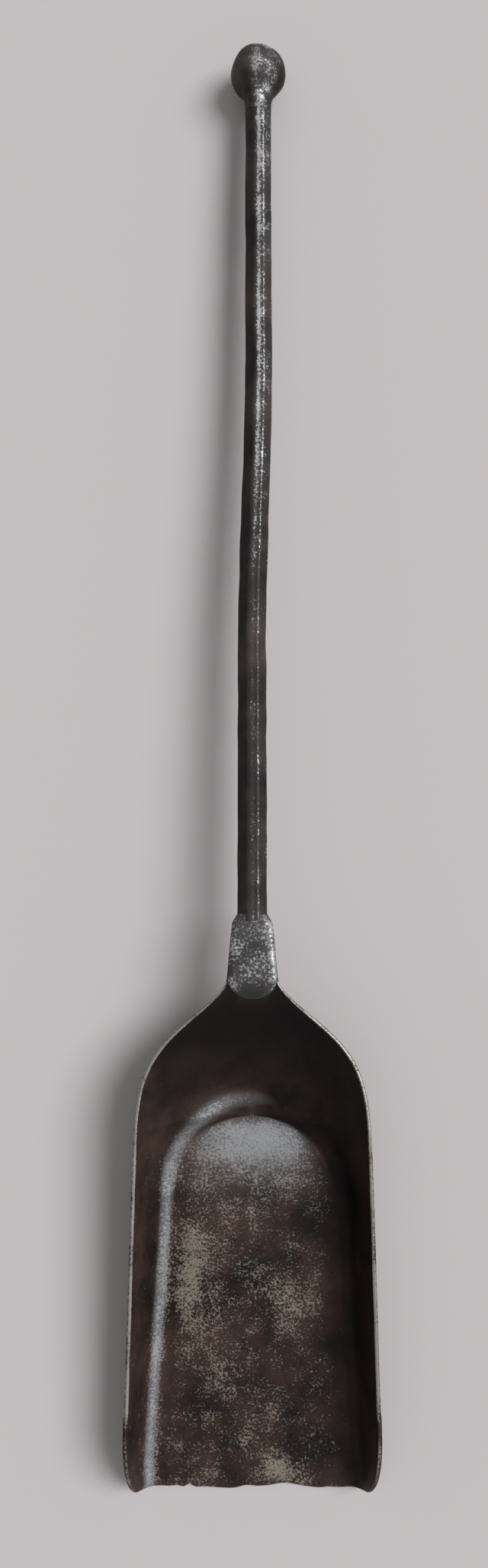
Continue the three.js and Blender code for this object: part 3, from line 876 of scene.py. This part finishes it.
def knob_surface(shrink):
    """The profile turned about the tenon's line, each point drawn in by its own share."""
    across = (knob_across * (1 - shrink))[..., None]
    along = (knob_along * (1 - shrink * (knob_along > BALL_END)))[..., None]
    return KNOB_CENTRE + across * spoke(spin, line_right, line_top) + along * line_ahead


knob_rings = knob_surface(np.zeros((len(knob_across), AROUND)))
marks = hammer_dents(knob_rings, count=120, width=4.2, depth=0.4, seed=41)
marks = marks + KNOB_SWAY * (sway(knob_rings, wavelength=9, seed=42) + 1)
knob_rings = knob_surface(np.clip(marks, 0, DEEPEST_KNOB_MARK) / KNOB_RADIUS)
hollow = bell(knob_along - HOLLOW_PLACE, HOLLOW_RUN) * bell(spin - HOLLOW_TURN, HOLLOW_WIDTH)
lit_knob_top = smooth(np.sin(spin + TOP_TURN), *TOP_BAND) * smooth(knob_across, *TOP_FROM_LINE)
knob_wear_and_painted_light = (
    KNOB_SKIN_WEAR
    + KNOB_TOP_WEAR_AND_HIGHLIGHT * lit_knob_top
    + KNOB_WAVE * sway(knob_rings, wavelength=7, seed=43)
    + HOLLOW_WEAR * hollow
)
knob = make_piece("knob", knob_rings[:, ::-1], knob_wear_and_painted_light[:, ::-1], KNOB_POLISH, "ball_knob")

# %% [markdown]
# Old forged iron has three finishes at once: a nearly black oxide in the hollows, a warm brown
# wax and rust bloom over it, and grains of bare grey iron where it is rubbed. Two effects are
# used by every material, so each is a node group: a grain that breaks wear into specks, and a
# slow mottle that shifts the colour of the skin. First come three helpers for building groups.


# %% Helpers for node groups
def new_group(name, inputs, outputs):
    """A shader node group with named float inputs and outputs, and its two end nodes."""
    group = bpy.data.node_groups.new(name, "ShaderNodeTree")
    for label, value in inputs:
        socket = group.interface.new_socket(label, in_out="INPUT", socket_type="NodeSocketFloat")
        socket.default_value = value
    for label in outputs:
        group.interface.new_socket(label, in_out="OUTPUT", socket_type="NodeSocketFloat")
    return group, group.nodes.new("NodeGroupInput"), group.nodes.new("NodeGroupOutput")


def noise(group, scale, detail, roughness):
    """A noise texture on Object coordinates."""
    place = group.nodes.new("ShaderNodeTexCoord")
    node = group.nodes.new("ShaderNodeTexNoise")
    node.inputs["Scale"].default_value = scale
    node.inputs["Detail"].default_value = detail
    node.inputs["Roughness"].default_value = roughness
    group.links.new(place.outputs["Object"], node.inputs["Vector"])
    return node


def maths(tree, operation, first, second, clamp=False):
    """A maths node whose two inputs are numbers or sockets."""
    node = tree.nodes.new("ShaderNodeMath")
    node.operation = operation
    node.use_clamp = clamp
    for socket, value in zip(node.inputs, (first, second)):
        if isinstance(value, (int, float)):
            socket.default_value = value
        else:
            tree.links.new(value, socket)
    return node.outputs[0]


# %% [markdown]
# The grain adds a fine noise and a cloudy one to the wear and painted light. What passes a
# threshold is bare iron, so little wear gives rare specks and more wear gives crowded ones. Where
# a place is polished or carries painted sheen, the specks are mixed with a plain ramp of the wear,
# which blurs them into a sheen.

# %% The grain group
GRAIN_SCALE = 900.0
GRAIN_CONTRAST = 4.0
GRAIN_THRESHOLD = 0.95
NOISE_MIDDLE = 0.5
CLOUD_SHARE = 0.55
SHEEN_START = 0.2
SHEEN_GAIN = 1.7
SHEEN_SHARE = 0.5


def make_grain_group():
    """Specks = (noises + wear - threshold) * contrast, mixed with a ramp of wear by the polish; wear
    holds painted light too, and polish painted sheen.
    """
    inputs = [("Wear and Painted Light", 0.3), ("Polish and Painted Sheen", 0.0), ("Grain Scale", GRAIN_SCALE), ("Contrast", GRAIN_CONTRAST)]
    group, inlet, outlet = new_group("worn_grain", inputs, ["Mask", "Height"])
    wear_and_painted_light = inlet.outputs["Wear and Painted Light"]
    fine = noise(group, GRAIN_SCALE, detail=2.0, roughness=0.6)
    group.links.new(inlet.outputs["Grain Scale"], fine.inputs["Scale"])
    cloud = noise(group, scale=150.0, detail=4.0, roughness=0.65)
    off_middle = maths(group, "SUBTRACT", cloud.outputs["Fac"], NOISE_MIDDLE)
    clouded = maths(group, "MULTIPLY", off_middle, CLOUD_SHARE)
    grains = maths(group, "ADD", fine.outputs["Fac"], clouded)
    passed = maths(group, "SUBTRACT", maths(group, "ADD", grains, wear_and_painted_light), GRAIN_THRESHOLD)
    specks = maths(group, "MULTIPLY", passed, inlet.outputs["Contrast"], clamp=True)
    sheen = maths(group, "MULTIPLY", maths(group, "SUBTRACT", wear_and_painted_light, SHEEN_START), SHEEN_GAIN, clamp=True)
    share = maths(group, "MULTIPLY", inlet.outputs["Polish and Painted Sheen"], SHEEN_SHARE)
    towards = maths(group, "MULTIPLY", maths(group, "SUBTRACT", sheen, specks), share)
    group.links.new(maths(group, "ADD", specks, towards), outlet.inputs["Mask"])
    group.links.new(fine.outputs["Fac"], outlet.inputs["Height"])
    return group


grain_group = make_grain_group()

# %% [markdown]
# The mottle is one slow noise whose middle range is stretched to run from 0 to 1, so that black
# oxide and brown wax both get places of their own instead of an even blend.

# %% The mottle group
MOTTLE_SCALE = 28.0
MOTTLE_LOW = 0.36
MOTTLE_GAIN = 3.4


def make_mottle_group():
    """Mottle = (slow noise - low) * gain, kept between 0 and 1."""
    group, inlet, outlet = new_group("skin_mottle", [("Mottle Scale", MOTTLE_SCALE)], ["Mottle"])
    slow = noise(group, MOTTLE_SCALE, detail=4.0, roughness=0.62)
    group.links.new(inlet.outputs["Mottle Scale"], slow.inputs["Scale"])
    above = maths(group, "SUBTRACT", slow.outputs["Fac"], MOTTLE_LOW)
    group.links.new(maths(group, "MULTIPLY", above, MOTTLE_GAIN, clamp=True), outlet.inputs["Mottle"])
    return group


mottle_group = make_mottle_group()
print("node groups:", [group.name for group in bpy.data.node_groups])

# %% [markdown]
# A material needs four more helpers: one mixes two colours by a mask, one spreads a mask between
# two values, one reads wear or polish from the mesh, and one places a shared group.


# %% Helpers for materials
def mix_colour(tree, share, first, second):
    """A colour mix whose two colours are tuples or sockets."""
    node = tree.nodes.new("ShaderNodeMix")
    node.data_type = "RGBA"
    tree.links.new(share, node.inputs["Factor"])
    for label, value in (("A", first), ("B", second)):
        socket = next(s for s in node.inputs if s.name == label and s.type == "RGBA")
        if isinstance(value, tuple):
            socket.default_value = (*value, 1.0)
        else:
            tree.links.new(value, socket)
    return next(s for s in node.outputs if s.type == "RGBA")


def between(tree, share, low, high):
    """A value that runs from low to high as the share runs from 0 to 1."""
    return maths(tree, "ADD", maths(tree, "MULTIPLY", share, high - low), low)


def attribute(tree, label):
    """The socket that reads one of the mesh's own attributes."""
    node = tree.nodes.new("ShaderNodeAttribute")
    node.attribute_name = label
    return node.outputs["Fac"]


def place_group(tree, group):
    """A node that stands for a shared group."""
    node = tree.nodes.new("ShaderNodeGroup")
    node.node_tree = group
    return node


# %% [markdown]
# Each piece has its own iron, mixed from the same parts with its own colours: the pan is darkest
# and warmest, the neck greyest. Bare grains are metallic and smoother, the waxed skin between
# them is not, and the grain also lifts the surface a little, so that it glitters as it turns.
# Where there is no wear at all, soot keeps the skin black. Dull bare iron is khaki with old ash,
# and polished iron is silver; the pan's is a blue-grey that also paints the sheen of its highlights.

# %% How an iron is made
SOOT_GAIN = 6.0
SPECULAR = 0.2
METALLIC = (0.05, 0.6)  # of the skin, and of the bare grains
ROUGHNESS = (0.55, 0.42)
BUMP_STRENGTH = 0.55
BUMP_HEIGHT = 0.35


def make_iron(name, black, brown, dull, bright):
    """Skin mottled from black to brown, with dull or bright iron where wear, painted light and grain
    pass.
    """
    material = bpy.data.materials.new(name)
    material.use_nodes = True
    tree = material.node_tree
    shader = tree.nodes["Principled BSDF"]
    # The wear attribute holds real wear with painted highlights and painted shade, and polish holds real
    # polish with painted sheen.
    wear_and_painted_light = attribute(tree, "wear_and_painted_light")
    polish_and_painted_sheen = attribute(tree, "polish_and_painted_sheen")
    grain = place_group(tree, grain_group)
    tree.links.new(wear_and_painted_light, grain.inputs["Wear and Painted Light"])
    tree.links.new(polish_and_painted_sheen, grain.inputs["Polish and Painted Sheen"])
    mask = grain.outputs["Mask"]
    mottle = place_group(tree, mottle_group)
    unsooted = maths(tree, "MULTIPLY", wear_and_painted_light, SOOT_GAIN, clamp=True)
    browned = maths(tree, "MULTIPLY", mottle.outputs["Mottle"], unsooted)
    skin = mix_colour(tree, browned, black, brown)
    bare = mix_colour(tree, polish_and_painted_sheen, dull, bright)
    tree.links.new(mix_colour(tree, mask, skin, bare), shader.inputs["Base Color"])
    shader.inputs["Specular IOR Level"].default_value = SPECULAR
    tree.links.new(between(tree, mask, *METALLIC), shader.inputs["Metallic"])
    tree.links.new(between(tree, mask, *ROUGHNESS), shader.inputs["Roughness"])
    bump = tree.nodes.new("ShaderNodeBump")
    bump.inputs["Strength"].default_value = BUMP_STRENGTH
    bump.inputs["Distance"].default_value = BUMP_HEIGHT * MM
    tree.links.new(grain.outputs["Height"], bump.inputs["Height"])
    tree.links.new(bump.outputs["Normal"], shader.inputs["Normal"])
    return material


# %% [markdown]
# The colours are linear values. A black, a brown and two bare greys are enough for each piece,
# because the mottle and the grain make every shade between them.

# %% The four irons
KHAKI = (0.30, 0.265, 0.215)
# The pan's polished iron: the blue-grey of its polished edge and of the painted sheen on its highlights.
SHEEN_GREY = (0.38, 0.39, 0.41)
SILVER = (0.50, 0.50, 0.515)

IRONS = {  # black skin, brown skin, dull bare iron and polished bare iron
    "pan_iron": ((0.006, 0.004, 0.004), (0.052, 0.028, 0.022), KHAKI, SHEEN_GREY),
    "neck_iron": ((0.010, 0.009, 0.009), (0.048, 0.042, 0.040), SILVER, SILVER),
    "bar_iron": ((0.007, 0.006, 0.006), (0.042, 0.031, 0.027), SILVER, SILVER),
    "knob_iron": ((0.009, 0.008, 0.008), (0.045, 0.038, 0.034), SILVER, SILVER),
}
for piece, (name, colours) in zip((pan, neck, bar, knob), IRONS.items()):
    iron = make_iron(name, *colours)
    piece.data.materials.append(iron)
    print(piece.name, "wears", iron.name)

# %% [markdown]
# The shovel lies on a plain pale table. Its top is a hair below the shovel's lowest points, so
# that the two surfaces never share a plane.

# %% The table
TABLE_HALF = 6.0  # metres
TABLE_DROP = 0.2
TABLE_COLOUR = (0.56, 0.53, 0.535, 1)
TABLE_ROUGHNESS = 0.9
TABLE_SPECULAR = 0.1


def make_table():
    """A wide square floor just under the shovel, in a warm pale grey."""
    mesh = bpy.data.meshes.new("table")
    turns = ((-1, -1), (1, -1), (1, 1), (-1, 1))
    corners = [(TABLE_HALF * x, TABLE_HALF * y, -TABLE_DROP * MM) for x, y in turns]
    mesh.from_pydata(corners, [], [(0, 1, 2, 3)])
    table = bpy.data.objects.new("table", mesh)
    bpy.context.scene.collection.objects.link(table)
    material = bpy.data.materials.new("table_top")
    material.use_nodes = True
    shader = material.node_tree.nodes["Principled BSDF"]
    shader.inputs["Base Color"].default_value = TABLE_COLOUR
    shader.inputs["Roughness"].default_value = TABLE_ROUGHNESS
    shader.inputs["Specular IOR Level"].default_value = TABLE_SPECULAR
    table.data.materials.append(material)


make_table()
print("table:", 2 * TABLE_HALF, "metres square")

# %% [markdown]
# A large soft lamp from the right gives the shadows on the left, and an even world light fills
# the rest. Together they light a level white surface to about its own brightness.

# %% Light
WINDOW_FROM = (0.62, 0.22, 0.78)
WINDOW_ENERGY = 2.6
WINDOW_SPREAD = radians(36)
ROOM_COLOUR = (1.0, 0.985, 0.985, 1)
ROOM_STRENGTH = 0.36


def make_lamp(name, direction, energy, spread):
    """A sun whose light comes from the given direction, softened by its angle."""
    data = bpy.data.lights.new(name, "SUN")
    data.energy = energy
    data.angle = spread
    lamp = bpy.data.objects.new(name, data)
    lamp.rotation_euler = Vector(direction).to_track_quat("Z", "Y").to_euler()
    bpy.context.scene.collection.objects.link(lamp)


make_lamp("window", WINDOW_FROM, WINDOW_ENERGY, WINDOW_SPREAD)
world = bpy.data.worlds.new("room")
world.use_nodes = True
room = world.node_tree.nodes["Background"]
room.inputs["Color"].default_value = ROOM_COLOUR
room.inputs["Strength"].default_value = ROOM_STRENGTH
bpy.context.scene.world = world
print("lamp from:", WINDOW_FROM, "world strength:", ROOM_STRENGTH)

# %% [markdown]
# The camera hangs over the table and leans three degrees towards the knob, as the photograph's
# did. Its focal length and place were fitted to the photograph, so that the near and the far
# parts of the shovel come out at the sizes they have there.

# %% Camera
PHOTO_HEIGHT = 2058  # pixels
FOCAL_LENGTH = 1500  # pixels
SENSOR = 36.0
CAMERA_PLACE = (-0.004, -0.047, 0.586)
CAMERA_LEAN = radians(3)
CLIP_START = 0.01

camera_data = bpy.data.cameras.new("camera")
camera_data.sensor_width = SENSOR
camera_data.lens = SENSOR * FOCAL_LENGTH / PHOTO_HEIGHT
camera_data.clip_start = CLIP_START
camera = bpy.data.objects.new("camera", camera_data)
camera.location = CAMERA_PLACE
camera.rotation_euler = (CAMERA_LEAN, 0, 0)
bpy.context.scene.collection.objects.link(camera)
bpy.context.scene.camera = camera
bpy.context.scene.view_settings.view_transform = "Standard"
print("lens:", round(camera_data.lens, 2), "mm")
